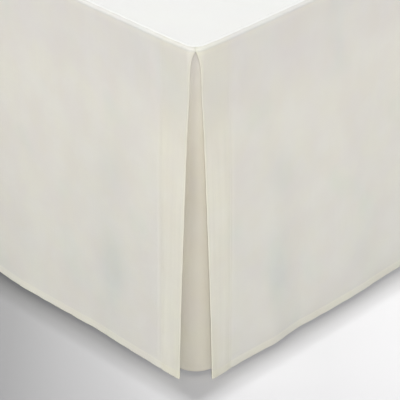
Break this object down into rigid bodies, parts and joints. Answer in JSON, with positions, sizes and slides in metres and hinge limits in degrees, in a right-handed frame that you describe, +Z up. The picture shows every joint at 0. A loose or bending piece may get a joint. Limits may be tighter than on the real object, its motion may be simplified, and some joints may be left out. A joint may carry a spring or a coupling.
{
  "type": "bed skirt on bed base",
  "caption": "Tailored bed skirt with flat drops, split foot corners and pleat underlays, hanging from a plain bed base on legs.",
  "frame": {"origin": "on the floor, under the centre of the whole object's bounding box", "axes": "+Z up, +Y towards the head of the bed, +X towards the right side drop when looking from the foot to the head"},
  "size_m": [1.4112, 1.925, 0.3818],
  "materials": {
    "skirt_cloth": "matt plain weave, cream",
    "underlay_cloth": "matt plain weave, cream, in the shade of the split",
    "deck_cloth": "matt plain weave, near white",
    "base_fabric": "matt upholstery cloth, light grey",
    "leg_wood": "satin varnish"
  },
  "bodies": {
    "root": {"bed_base": "base_fabric", "deck_panel": "deck_cloth", "drop_foot": "skirt_cloth", "drop_left": "skirt_cloth", "drop_right": "skirt_cloth", "pleat_underlay_left": "underlay_cloth", "pleat_underlay_right": "underlay_cloth", "leg_foot_left": "leg_wood", "leg_foot_right": "leg_wood", "leg_head_left": "leg_wood", "leg_head_right": "leg_wood"}
  },
  "joints": []
}
